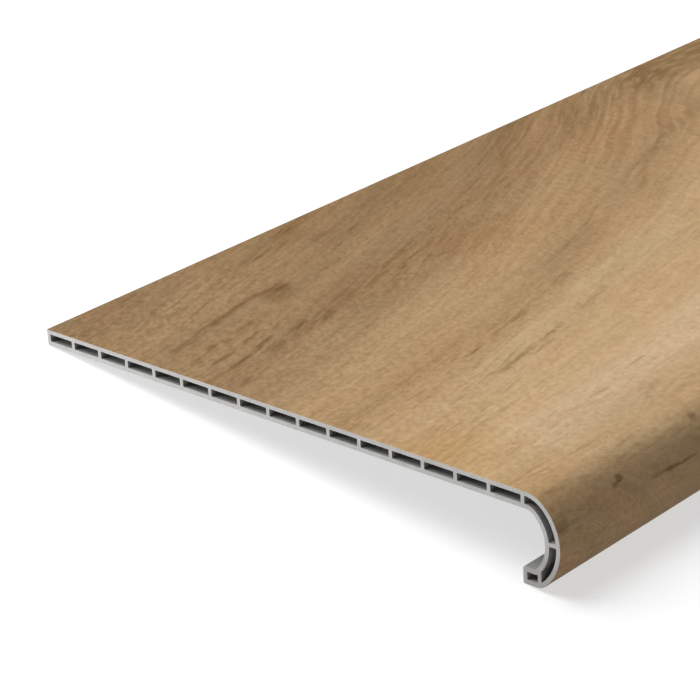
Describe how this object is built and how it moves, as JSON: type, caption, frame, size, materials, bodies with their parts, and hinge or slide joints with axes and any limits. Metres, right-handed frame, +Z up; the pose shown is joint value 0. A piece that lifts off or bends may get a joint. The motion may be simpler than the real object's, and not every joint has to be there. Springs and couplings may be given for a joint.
{
  "type": "stair tread",
  "caption": "Hollow-chamber stair tread panel with a round nose that curls under to a lip, oak-look on the walking face and nose, pale core on the sawn ends and underside.",
  "frame": {"origin": "bottom centre of the tread as it lies on a level floor", "axes": "+X along the length, -Y towards the round nose, +Z up"},
  "size_m": [1, 0.3006, 0.0424],
  "materials": {
    "tread_profile": "satin oak decor on the walking face and nose, bare pale grey core elsewhere"
  },
  "bodies": {
    "root": {"tread_profile": "tread_profile"}
  },
  "joints": []
}
